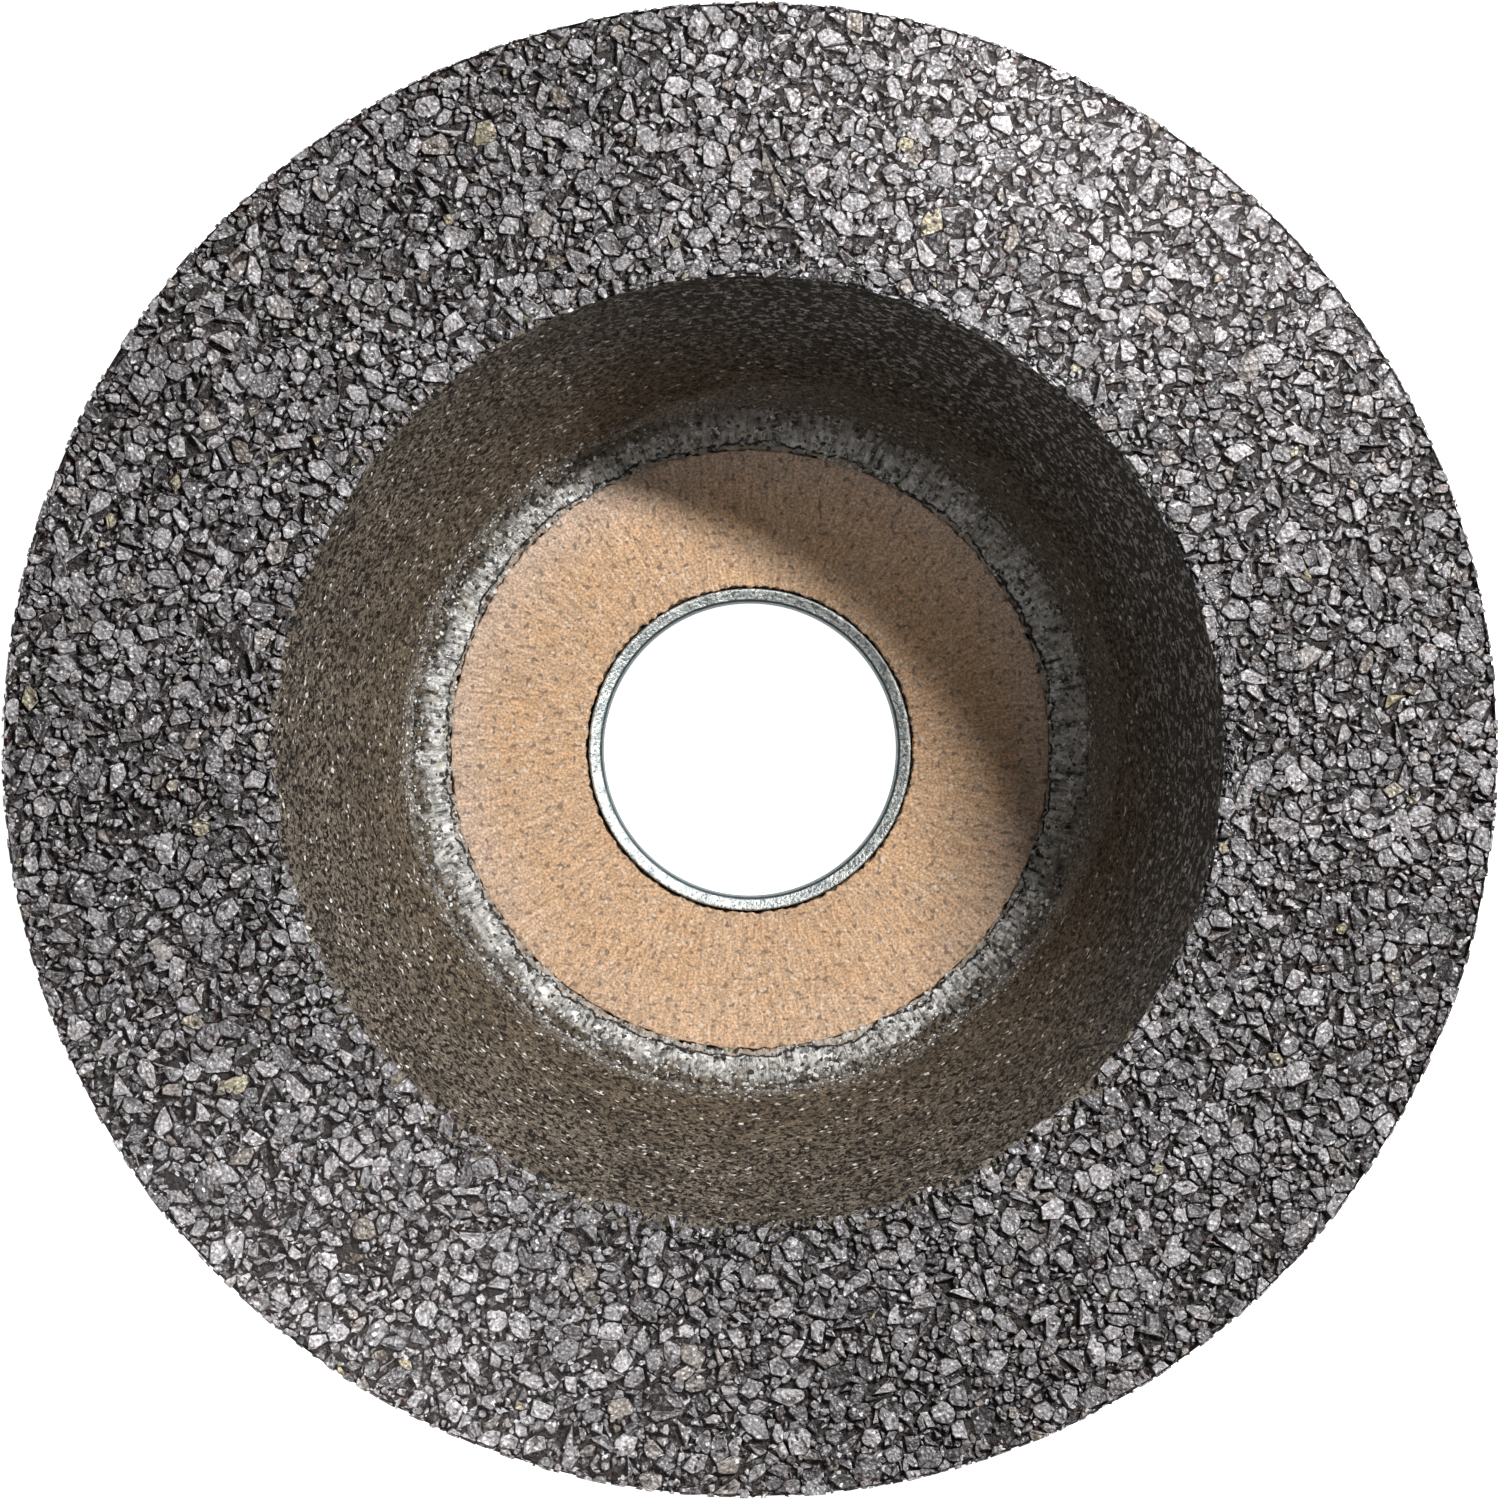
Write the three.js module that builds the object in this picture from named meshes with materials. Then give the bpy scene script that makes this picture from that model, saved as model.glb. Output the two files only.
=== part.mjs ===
// Flaring cup grinding wheel for an angle grinder: a coarse resin-bonded abrasive cup on a
// glass-reinforced base, with a pressed steel back, a steel arbor bush and a card blotter.
//
// Units are millimetres. The spindle axis is Z: the back face lies on z = 0, and +Z points
// to the grinding face at the mouth of the cup. Every piece is turned round that axis.
import * as THREE from "three";

// ---------------------------------------------------------------- driving dimensions
const FACE_DIAMETER = 110; // outside, at the grinding face
const BACK_DIAMETER = 90; // outside, at the back
const HEIGHT = 55; // back face to grinding face
const RIM_WIDTH = 20; // the flat ring that does the grinding
const BASE_THICKNESS = 20; // back face to the face that the clamp nut meets
const WALL_FOOT_DIAMETER = 49.2; // the cup's inside wall, carried down to the blotter's face
const BORE_DIAMETER = 22.23; // standard 7/8 inch arbor
const SEGMENTS = 72; // flats round the axis, the same on every piece

const BUSH_WALL = 0.985;
const BUSH_PROUD = 0.4; // the bush's front rim stands this far above the blotter
const BUSH_RECESS = 0.15; // and its back end this far inside the back face
const BUSH_FLANGE_RADIUS = 17;
const BUSH_EDGE = 0.32; // round on the bush's front rim

const SHEET = 1.2; // steel back, thickness of its flat
const SKIRT_THICKNESS = 1;
const SKIRT_TOP = 8.9;
const SKIRT_CORNER = 1.4; // outside bend where the flat turns up into the skirt
const SEAT_RADIUS = 21; // flat land round the bore, where the grinder's flange seats
const LABEL_RECESS = 0.4; // coined into the steel back, so that the label never touches
const LABEL_THICKNESS = 0.25;
const LABEL_OUTER_RADIUS = 40.5; // outside of its recess
const LABEL_MARGIN = 0.5; // between the label's edges and the recess

const MESH_THICKNESS = 0.8; // one resin-soaked glass cloth disc
const LAYER_SPLIT = 9; // the two base layers meet here
const BASE_TOP = 16; // and the abrasive cup begins here
const MESH_MARGIN = 3; // how far the cloth stops short of the outside

const BLOTTER_RADIUS = 22.5;
const BLOTTER_THICKNESS = 0.8;
const COLLAR_TOP = 23.2; // the fillet ring climbs the wall to here
const COLLAR_LIP = 0.2; // its inner edge stands this far above the blotter
const COVE_DEPTH = 0.6; // material left in the corner behind the cove
const CRACK = 0.25; // open joint between the blotter and the fillet ring

const FIT = 0.1; // resin line between the turned pieces

// ---------------------------------------------------------------- worked-out sizes
const faceRadius = FACE_DIAMETER / 2;
const backRadius = BACK_DIAMETER / 2;
const mouthRadius = faceRadius - RIM_WIDTH;
const wallFootRadius = WALL_FOOT_DIAMETER / 2;
const boreRadius = BORE_DIAMETER / 2;
const bushRadius = boreRadius + BUSH_WALL;
const holeRadius = bushRadius + FIT; // through every layer that the bush passes
const floorHeight = BASE_THICKNESS - BLOTTER_THICKNESS;
const flangeBottom = SHEET;
const flangeTop = SHEET + MESH_THICKNESS;

// The outside cone, from the back to the grinding face.
function outsideRadius(z) {
  return THREE.MathUtils.lerp(backRadius, faceRadius, z / HEIGHT);
}

// The inside cone, from the foot of the wall to the mouth.
function insideRadius(z) {
  const share = (z - BASE_THICKNESS) / (HEIGHT - BASE_THICKNESS);
  return THREE.MathUtils.lerp(wallFootRadius, mouthRadius, share);
}

// ---------------------------------------------------------------- turning
// A point of an outline: r from the axis, z above the back face.
function at(r, z) {
  return new THREE.Vector2(r, z);
}

// Points along an arc round (r, z), between two angles in degrees.
function arc(r, z, radius, from, to, steps) {
  return Array.from({ length: steps + 1 }, (_, i) => {
    const angle = THREE.MathUtils.degToRad(THREE.MathUtils.lerp(from, to, i / steps));
    return at(r + radius * Math.cos(angle), z + radius * Math.sin(angle));
  });
}

// Turns a closed outline, drawn anticlockwise with r to the right and z up, into a solid.
function turned(outline) {
  const geometry = new THREE.LatheGeometry([...outline, outline[0]], SEGMENTS);
  return geometry.rotateX(Math.PI / 2);
}

// A flat washer.
function washer(innerRadius, outerRadius, bottom, top) {
  return turned([
    at(innerRadius, bottom),
    at(outerRadius, bottom),
    at(outerRadius, top),
    at(innerRadius, top),
  ]);
}

// ---------------------------------------------------------------- finishes
function finish(color, roughness, metalness) {
  return new THREE.MeshStandardMaterial({ color, roughness, metalness });
}

const coarseAbrasive = finish(0x6c6868, 0.55, 0);
const baseMix = finish(0x3a3430, 0.8, 0);
const glassCloth = finish(0xb9a878, 0.6, 0);
const zincSteel = finish(0xb8bcb8, 0.35, 0.9);
const backSteel = finish(0x9a9fa2, 0.4, 0.9);
const tanCard = finish(0xcfa982, 0.9, 0);
const greyFillet = finish(0xa19d98, 0.7, 0);
const labelPaper = finish(0x2f4a5c, 0.7, 0);

// ---------------------------------------------------------------- pieces
// Pressed steel back: a flat with the bore's clearance, a coined recess for the label and a
// skirt that grips the base.
function steelBack() {
  const cornerZ = SKIRT_CORNER;
  const cornerR = outsideRadius(cornerZ) - SKIRT_CORNER;
  const bend = arc(cornerR, cornerZ, SKIRT_CORNER, -90, 0, 4);
  return turned([
    at(holeRadius, 0),
    at(SEAT_RADIUS, 0),
    at(SEAT_RADIUS, LABEL_RECESS),
    at(LABEL_OUTER_RADIUS, LABEL_RECESS),
    at(LABEL_OUTER_RADIUS, 0),
    ...bend,
    at(outsideRadius(SKIRT_TOP), SKIRT_TOP),
    at(outsideRadius(SKIRT_TOP) - SKIRT_THICKNESS, SKIRT_TOP),
    at(outsideRadius(SHEET) - SKIRT_THICKNESS, SHEET),
    at(holeRadius, SHEET),
  ]);
}

// Arbor bush: a steel sleeve with a rounded front rim, and an anchor flange that the base
// is pressed on to.
function arborBush() {
  const front = BASE_THICKNESS + BUSH_PROUD;
  const rim = arc(bushRadius - BUSH_EDGE, front - BUSH_EDGE, BUSH_EDGE, 0, 90, 3);
  const inner = arc(boreRadius + BUSH_EDGE, front - BUSH_EDGE, BUSH_EDGE, 90, 180, 3);
  return turned([
    at(boreRadius, BUSH_RECESS),
    at(bushRadius, BUSH_RECESS),
    at(bushRadius, flangeBottom),
    at(BUSH_FLANGE_RADIUS, flangeBottom),
    at(BUSH_FLANGE_RADIUS, flangeTop),
    at(bushRadius, flangeTop),
    ...rim,
    ...inner,
  ]);
}

// A base layer from bottom to top, recessed on top for the glass cloth disc that it carries.
function baseLayer(bottom, top, inset, clothRadius) {
  const clothFloor = top - MESH_THICKNESS;
  return turned([
    at(holeRadius, bottom),
    at(outsideRadius(bottom) - inset, bottom),
    at(outsideRadius(top) - inset, top),
    at(clothRadius + FIT, top),
    at(clothRadius + FIT, clothFloor),
    at(holeRadius, clothFloor),
  ]);
}

// The working part: a floor under the blotter and a thick flaring wall up to the face.
function abrasiveCup() {
  return turned([
    at(holeRadius, BASE_TOP),
    at(outsideRadius(BASE_TOP), BASE_TOP),
    at(faceRadius, HEIGHT),
    at(mouthRadius, HEIGHT),
    at(insideRadius(floorHeight), floorHeight),
    at(holeRadius, floorHeight),
  ]);
}

// Grey fillet ring in the corner between the floor and the wall, hollowed like a cove.
function floorCollar() {
  const innerRadius = BLOTTER_RADIUS + CRACK;
  const foot = at(insideRadius(floorHeight) - FIT, floorHeight);
  const top = at(insideRadius(COLLAR_TOP) - FIT, COLLAR_TOP);
  const hollow = at(insideRadius(BASE_THICKNESS) - COVE_DEPTH, BASE_THICKNESS + COVE_DEPTH);
  const lip = at(innerRadius, BASE_THICKNESS + COLLAR_LIP);
  const cove = new THREE.QuadraticBezierCurve(top, hollow, lip);
  return turned([at(innerRadius, floorHeight), foot, ...cove.getPoints(4)]);
}

// Paper label, inset all round in the recess of the steel back.
function backLabel() {
  const bottom = LABEL_RECESS - LABEL_THICKNESS;
  return washer(SEAT_RADIUS + LABEL_MARGIN, LABEL_OUTER_RADIUS - LABEL_MARGIN, bottom, LABEL_RECESS);
}

// A glass cloth disc whose upper face is at the given height.
function clothDisc(innerRadius, outerRadius, top) {
  return washer(innerRadius, outerRadius, top - MESH_THICKNESS, top);
}

const backClothRadius = outsideRadius(flangeTop) - MESH_MARGIN / 2;
const middleClothRadius = outsideRadius(LAYER_SPLIT) - MESH_MARGIN;
const frontClothRadius = outsideRadius(BASE_TOP) - MESH_MARGIN;
const underSkirt = SKIRT_THICKNESS + FIT;

const pieces = [
  ["steel_back_cap", steelBack(), backSteel],
  ["arbor_bush", arborBush(), zincSteel],
  ["back_label", backLabel(), labelPaper],
  ["glass_cloth_back", clothDisc(BUSH_FLANGE_RADIUS + FIT, backClothRadius, flangeTop), glassCloth],
  ["base_layer_back", baseLayer(flangeTop, LAYER_SPLIT, underSkirt, middleClothRadius), baseMix],
  ["glass_cloth_middle", clothDisc(holeRadius, middleClothRadius, LAYER_SPLIT), glassCloth],
  ["base_layer_front", baseLayer(LAYER_SPLIT, BASE_TOP, 0, frontClothRadius), baseMix],
  ["glass_cloth_front", clothDisc(holeRadius, frontClothRadius, BASE_TOP), glassCloth],
  ["abrasive_cup", abrasiveCup(), coarseAbrasive],
  ["floor_blotter", washer(holeRadius + FIT, BLOTTER_RADIUS, floorHeight, BASE_THICKNESS), tanCard],
  ["floor_collar", floorCollar(), greyFillet],
];

const wheel = new THREE.Group();
for (const [name, geometry, material] of pieces) {
  const mesh = new THREE.Mesh(geometry, material);
  mesh.name = name;
  wheel.add(mesh);
}

export default wheel;
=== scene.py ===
# Flaring cup grinding wheel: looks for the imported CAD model.
import math

import bpy
import numpy as np
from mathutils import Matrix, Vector
from mathutils.kdtree import KDTree


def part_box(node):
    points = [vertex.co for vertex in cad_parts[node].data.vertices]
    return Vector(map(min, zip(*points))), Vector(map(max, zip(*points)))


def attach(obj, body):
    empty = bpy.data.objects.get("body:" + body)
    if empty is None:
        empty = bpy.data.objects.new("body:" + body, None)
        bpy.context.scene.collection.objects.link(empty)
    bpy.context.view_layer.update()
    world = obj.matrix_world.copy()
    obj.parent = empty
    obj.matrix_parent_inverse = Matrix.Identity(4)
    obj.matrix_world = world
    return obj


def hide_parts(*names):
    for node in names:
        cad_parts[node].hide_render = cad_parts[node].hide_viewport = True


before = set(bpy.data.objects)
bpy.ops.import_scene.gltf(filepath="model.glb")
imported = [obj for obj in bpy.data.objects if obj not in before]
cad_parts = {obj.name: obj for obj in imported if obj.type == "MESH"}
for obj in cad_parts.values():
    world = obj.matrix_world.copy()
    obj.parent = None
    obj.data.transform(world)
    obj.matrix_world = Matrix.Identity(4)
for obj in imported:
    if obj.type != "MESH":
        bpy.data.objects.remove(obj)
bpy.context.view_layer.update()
mm = 0.001
print("frame loaded:", len(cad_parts), "nodes")


# ---- sizes, read from the frame
def cornerRadii(node, height):
    corners = np.array([v.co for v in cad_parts[node].data.vertices])
    level = corners[np.abs(corners[:, 2] - height) < 0.01 * mm]
    return np.hypot(level[:, 0], level[:, 1])


def rings(node, height):
    # smallest and largest radius of a node at one height
    radii = cornerRadii(node, height)
    return float(radii.min()), float(radii.max())


def ringSteps(node, height):
    # every radius at which a node has corners at one height, smallest first
    return sorted({round(float(r), 5) for r in cornerRadii(node, height)})


def line(a, b):
    # radius as a straight function of height, through two (r, z) points
    return lambda z: a[0] + (b[0] - a[0]) * (z - a[1]) / (b[1] - a[1])


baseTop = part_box("abrasive_cup")[0].z
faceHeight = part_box("abrasive_cup")[1].z
mouthRadius, faceRadius = rings("abrasive_cup", faceHeight)
holeRadius, footRadius = rings("abrasive_cup", baseTop)
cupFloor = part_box("floor_blotter")[0].z
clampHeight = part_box("floor_blotter")[1].z
wallFoot = rings("abrasive_cup", cupFloor)[1]
blotterHole, blotterRadius = rings("floor_blotter", clampHeight)
collarRadius = rings("floor_collar", cupFloor)[0]
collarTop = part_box("floor_collar")[1].z
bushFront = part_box("arbor_bush")[1].z
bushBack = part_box("arbor_bush")[0].z
boreRadius, bushRadius = rings("arbor_bush", bushBack)
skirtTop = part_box("steel_back_cap")[1].z
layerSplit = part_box("base_layer_front")[0].z
outside = line((footRadius, baseTop), (faceRadius, faceHeight))
inside = line((wallFoot, cupFloor), (mouthRadius, faceHeight))


# ---- shader maths
class Wire:
    # one socket of a material: sums and products of wires add Math nodes
    def __init__(self, finish, socket):
        self.finish = finish
        self.socket = socket

    def __add__(self, other):
        return self.finish.maths("ADD", self, other)

    def __radd__(self, other):
        return self.finish.maths("ADD", other, self)

    def __sub__(self, other):
        return self.finish.maths("SUBTRACT", self, other)

    def __rsub__(self, other):
        return self.finish.maths("SUBTRACT", other, self)

    def __mul__(self, other):
        return self.finish.maths("MULTIPLY", self, other)

    def __rmul__(self, other):
        return self.finish.maths("MULTIPLY", other, self)

    def __truediv__(self, other):
        return self.finish.maths("DIVIDE", self, other)


class Finish:
    # a material and the nodes that feed its shader
    def __init__(self, name, fixed=None):
        self.material = bpy.data.materials.new(name)
        self.material.use_nodes = True
        self.tree = self.material.node_tree
        self.shader = self.tree.nodes["Principled BSDF"]
        self.place = self.node("ShaderNodeTexCoord", out="Object")
        for socket, value in (fixed or {}).items():
            self.feed(socket, value)

    def feed(self, socket, value):
        self.connect(self.shader.inputs[socket], value)

    def connect(self, socket, value):
        if isinstance(value, Wire):
            self.tree.links.new(value.socket, socket)
        elif isinstance(value, tuple) and socket.type == "RGBA":
            socket.default_value = (*value, 1)
        else:
            socket.default_value = value

    def node(self, kind, settings=None, inputs=None, out=0):
        made = self.tree.nodes.new(kind)
        for key, value in (settings or {}).items():
            if key == "stops":
                ramp = made.color_ramp.elements
                while len(ramp) < len(value):
                    ramp.new(0.5)
                for stop, (position, colour) in zip(ramp, value):
                    stop.position = position
                    stop.color = (*colour, 1)
            else:
                setattr(made, key, value)
        for key, value in (inputs or {}).items():
            self.connect(made.inputs[key], value)
        return Wire(self, made.outputs[out])

    def maths(self, operation, a, b=0.0):
        return self.node("ShaderNodeMath", {"operation": operation}, {0: a, 1: b})

    def vectors(self, operation, a, b):
        return self.node("ShaderNodeVectorMath", {"operation": operation}, {0: a, 1: b})

    def blend(self, a, b, share):
        return self.node("ShaderNodeMix", {"data_type": "RGBA"}, {0: share, 6: a, 7: b}, 2)

    def shade(self, colour, factor):
        # a colour made lighter or darker by a number
        grey = self.node("ShaderNodeCombineColor", {}, {0: factor, 1: factor, 2: factor})
        return self.vectors("MULTIPLY", colour, grey)

    def ramp(self, value, *stops):
        return self.node("ShaderNodeValToRGB", {"stops": stops}, {0: value})

    def between(self, value, low, high, start=0.0, end=1.0):
        settings = {"interpolation_type": "SMOOTHSTEP"}
        levels = {"Value": value, "From Min": low, "From Max": high, "To Min": start, "To Max": end}
        return self.node("ShaderNodeMapRange", settings, levels)

    def noise(self, size, detail=2.0, roughness=0.5, at=None):
        # size is the width of one blotch, in metres
        levels = {"Vector": at or self.place, "Scale": 1 / size, "Detail": detail, "Roughness": roughness}
        return self.node("ShaderNodeTexNoise", {}, levels)

    def cells(self, size, at=None, out="Distance", feature="F1"):
        levels = {"Vector": at or self.place, "Scale": 1 / size}
        return self.node("ShaderNodeTexVoronoi", {"feature": feature}, levels, out)

    def bump(self, height, depth, strength=1.0):
        levels = {"Height": height, "Distance": depth, "Strength": strength}
        return self.node("ShaderNodeBump", {}, levels)

    def coordinate(self, axis):
        return self.node("ShaderNodeSeparateXYZ", {}, {"Vector": self.place}, axis)

    def level(self):
        # the place with its height left out
        return self.vectors("MULTIPLY", self.place, (1, 1, 0))

    def fromAxis(self):
        return self.node("ShaderNodeVectorMath", {"operation": "LENGTH"}, {0: self.level()}, "Value")

    def polar(self, turn, reach):
        # noise read here runs out in streaks along the radius where reach is small
        around = self.node("ShaderNodeVectorMath", {"operation": "NORMALIZE"}, {0: self.level()})
        up = self.node("ShaderNodeCombineXYZ", {}, {"Z": self.fromAxis() * reach})
        return self.vectors("ADD", self.vectors("MULTIPLY", around, (turn, turn, turn)), up)


# ---- materials
def channels(f, colour, *names):
    # the separate numbers of a colour, such as the random ones of a Voronoi cell
    split = f.node("ShaderNodeSeparateColor", {}, {"Color": colour})
    return [Wire(f, split.socket.node.outputs[name]) for name in names]


def grainFinish(name, dark, light, index):
    look = {
        "resin": (0.023, 0.008, 0.006),
        "rust": (0.1, 0.045, 0.022),
        "sand": (0.3, 0.23, 0.15),
        "straw": (0.42, 0.37, 0.2),
        "glint": (0.85, 0.85, 0.87),
    }
    f = Finish(name, {"IOR": index})
    grain = f.node("ShaderNodeAttribute", {"attribute_name": "grain"}, out="Color")
    bare = Wire(f, grain.socket.node.outputs["Alpha"])
    tone, hue, shine = channels(f, grain, "Red", "Green", "Blue")
    pits = f.noise(0.26 * mm, 3, 0.65)
    film = f.noise(0.7 * mm, 2, 0.6)
    chip = f.cells(0.24 * mm, out="Color")
    spark, fleck = channels(f, chip, "Red", "Green")
    body = f.blend(dark, light, tone)
    body = f.blend(body, look["sand"], 0.4 * f.between(hue, 0.9, 0.99))
    body = f.blend(body, look["straw"], 0.6 * f.between(hue, 0.992, 0.996))
    body = f.shade(body, f.between(pits, 0.3, 0.7, 0.5, 1.5) * (0.7 + 0.6 * fleck))
    body = f.blend(body, look["rust"], 0.8 * f.between(film, 0.6, 0.72))
    body = f.blend(body, look["resin"], f.between(film, 0.42, 0.34))
    # painted glints: white specks on the grain tops
    body = f.blend(body, look["glint"], f.between(spark, 0.94, 0.97) * f.between(shine, 0.2, 0.7))
    coat = f.shade(look["resin"], f.between(pits, 0.3, 0.7, 0.3, 3.2))
    # painted glints: white specks in the resin coat of the grain sides
    coat = f.blend(coat, look["glint"], 0.8 * f.between(spark, 0.88, 0.92))
    f.feed("Base Color", f.blend(coat, body, bare))
    f.feed("Roughness", f.between(pits, 0.35, 0.65, 0.5, 0.24) + 0.12 * shine)
    f.feed("Normal", f.bump(f.cells(0.3 * mm) + 0.7 * pits, 0.15 * mm, 0.9))
    return f.material


def resinBedFinish():
    look = {
        "deep": (0.005, 0.003, 0.003),
        "resin": (0.022, 0.014, 0.011),
        "ridge": (0.07, 0.045, 0.035),
        "grain": (0.2, 0.18, 0.18),
        "glint": (0.7, 0.7, 0.72),
    }
    f = Finish("resinBed", {"Specular IOR Level": 0.5})
    grit = f.noise(0.26 * mm, 3, 0.65)
    spark, tone = channels(f, f.cells(0.3 * mm, out="Color"), "Red", "Green")
    tint = f.ramp(grit, (0.35, look["deep"]), (0.6, look["resin"]), (0.75, look["ridge"]))
    tint = f.blend(tint, look["grain"], f.between(tone, 0.78, 0.86) * f.between(grit, 0.4, 0.55))
    # painted glints: white specks in the resin bed
    f.feed("Base Color", f.blend(tint, look["glint"], f.between(spark, 0.94, 0.97)))
    f.feed("Roughness", f.between(grit, 0.3, 0.7, 0.3, 0.55))
    f.feed("Normal", f.bump(grit + 0.5 * f.cells(0.45 * mm), 0.2 * mm, 0.9))
    return f.material


# fillet dust climbs higher on one side of the cup, the key lamp's side; the same mask sets where the wall
# gets painted shade and painted glints
drift = {"toward": (0.77, 0.64, 0), "from": 3 * mm, "to": 24 * mm, "climb": 7 * mm}


def dustClimbAndShade(f):
    # how much higher the dust stands, in metres; the wall also takes its painted shade and painted glints
    # from it
    side = {"operation": "DOT_PRODUCT"}
    aside = f.node("ShaderNodeVectorMath", side, {0: f.place, 1: drift["toward"]}, "Value")
    return f.between(aside, drift["from"], drift["to"], 0, drift["climb"])


def pittedWall(f, height):
    # brown moulded skin with black pits; toward the top, on the key lamp's side where the wall is in shade,
    # it gets painted shade (black) and painted glints (pale streaks)
    look = {
        "brown": (0.138, 0.112, 0.079),
        "grey": (0.19, 0.166, 0.145),
        "black": (0.005, 0.005, 0.005),
        "pale": (0.5, 0.45, 0.36),
        "paintedGlintStreak": (0.6, 0.6, 0.62),
        "glint": (0.9, 0.89, 0.87),
    }
    high = f.between(height, collarTop + 3 * mm, faceHeight - 8 * mm)
    side = 125 * dustClimbAndShade(f) * high
    lying = f.vectors("MULTIPLY", f.place, (1, 1, 0.7))
    grit = f.noise(0.24 * mm, 3, 0.65, at=lying)
    pit = f.noise(0.42 * mm, 2, 0.6, at=lying)
    streak = f.noise(0.26 * mm, 2, 0.5, at=f.polar(12 * mm, 1.6))
    tone, spark = channels(f, f.cells(0.55 * mm, at=lying, out="Color"), "Red", "Green")
    fine = channels(f, f.cells(0.3 * mm, out="Color"), "Red")[0]
    body = f.blend(look["brown"], look["grey"], 0.4 * high)
    body = f.shade(body, f.between(f.noise(6 * mm, 3, 0.6), 0.3, 0.7, 0.8, 1.2))
    rough = f.between(grit, 0.3, 0.7, 0.45 - 0.2 * high, 1.55 + 0.2 * high)
    body = f.shade(body, rough * (0.7 + 0.6 * tone))
    # painted shade: black on the shaded side near the mouth
    body = f.blend(body, look["black"], side)
    # painted glints: pale streaks within that painted shade
    body = f.blend(body, look["paintedGlintStreak"], side * f.between(streak, 0.5, 0.6))
    body = f.blend(body, look["pale"], 0.7 * f.between(fine, 0.945, 0.965))
    body = f.blend(body, look["black"], f.between(pit - 0.02 * high, 0.47, 0.43))
    # painted glints: sparse white specks
    glint = f.between(fine, 0.978, 0.983) * f.between(spark, 0.1, 0.4)
    return f.blend(body, look["glint"], glint), pit, grit


def wallSkinFinish():
    f = Finish("wallSkin", {"Specular IOR Level": 0.35})
    height = f.coordinate("Z")
    body, pit, grit = pittedWall(f, height)
    climb = dustClimbAndShade(f)
    ragged = 6 * mm * f.noise(1.2 * mm, 3, 0.6)
    ragged += 3 * mm * f.noise(0.5 * mm, 2, 0.6, at=f.polar(24 * mm, 0.3))
    dusty = f.between(height + ragged - climb, collarTop + 6.5 * mm, collarTop + 3.5 * mm)
    dust = f.shade((0.4, 0.39, 0.37), f.between(grit, 0.35, 0.65, 0.3, 1.5))
    # painted shade: the dust is dimmer the higher it climbs, on the shaded side
    f.feed("Base Color", f.blend(body, dust, dusty * (0.85 - 85 * climb)))
    f.feed("Roughness", f.between(grit, 0.3, 0.7, 0.7, 0.4))
    f.feed("Normal", f.bump(f.between(pit, 0.4, 0.5) + 0.6 * grit, 0.12 * mm, 0.6))
    return f.material


def collarGritFinish():
    look = {
        "dark": (0.04, 0.04, 0.04),
        "grey": (0.3, 0.293, 0.28),
        "silver": (0.62, 0.604, 0.575),
        "white": (0.97, 0.96, 0.93),
        "straw": (0.5, 0.42, 0.24),
        "glint": (0.97, 0.97, 0.97),
        "card": (0.42, 0.33, 0.24),
        "crack": (0.01, 0.01, 0.01),
    }
    f = Finish("collarGrit", {"Specular IOR Level": 0.6})
    height = f.coordinate("Z")
    streak = f.noise(0.4 * mm, 3, 0.65, at=f.polar(24 * mm, 0.22))
    grit = f.noise(0.36 * mm, 3, 0.65)
    tone, spark = channels(f, f.cells(0.45 * mm, out="Color"), "Red", "Green")
    fibres = 0.7 * streak + 0.18 * grit + 0.12 * tone
    stops = zip((0.37, 0.44, 0.52, 0.62), (look["dark"], look["grey"], look["silver"], look["white"]))
    tint = f.ramp(fibres, *stops)
    tint = f.blend(tint, look["straw"], 0.3 * f.between(f.noise(1.6 * mm, 2, 0.5), 0.56, 0.68))
    # painted glints: white specks in the fillet grit
    tint = f.blend(tint, look["glint"], f.between(spark, 0.92, 0.95))
    # its upper edge frays into the wall
    skin = pittedWall(f, height)[0]
    ragged = 3.6 * mm * f.noise(2.4 * mm, 3, 0.6) + 3.4 * mm * streak
    upper = f.between(height + ragged, collarTop + 1.4 * mm, collarTop + 2.6 * mm)
    tint = f.blend(tint, skin, upper * (1 - 100 * dustClimbAndShade(f)))
    # a wavy crack along the card, with card still stuck on its inner side
    wave = 2.4 * mm * (f.noise(3.5 * mm, 4, 0.65) - 0.43)
    crack = f.fromAxis() - collarRadius - wave
    tint = f.blend(tint, look["card"], 0.7 * f.between(crack, 0.0, -0.08 * mm))
    tint = f.blend(tint, look["crack"], f.between(f.maths("ABSOLUTE", crack), 0.14 * mm, 0.06 * mm))
    f.feed("Base Color", tint)
    f.feed("Roughness", f.between(grit, 0.3, 0.7, 0.55, 0.3))
    f.feed("Normal", f.bump(streak + grit, 0.3 * mm, 1.0))
    return f.material


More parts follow.
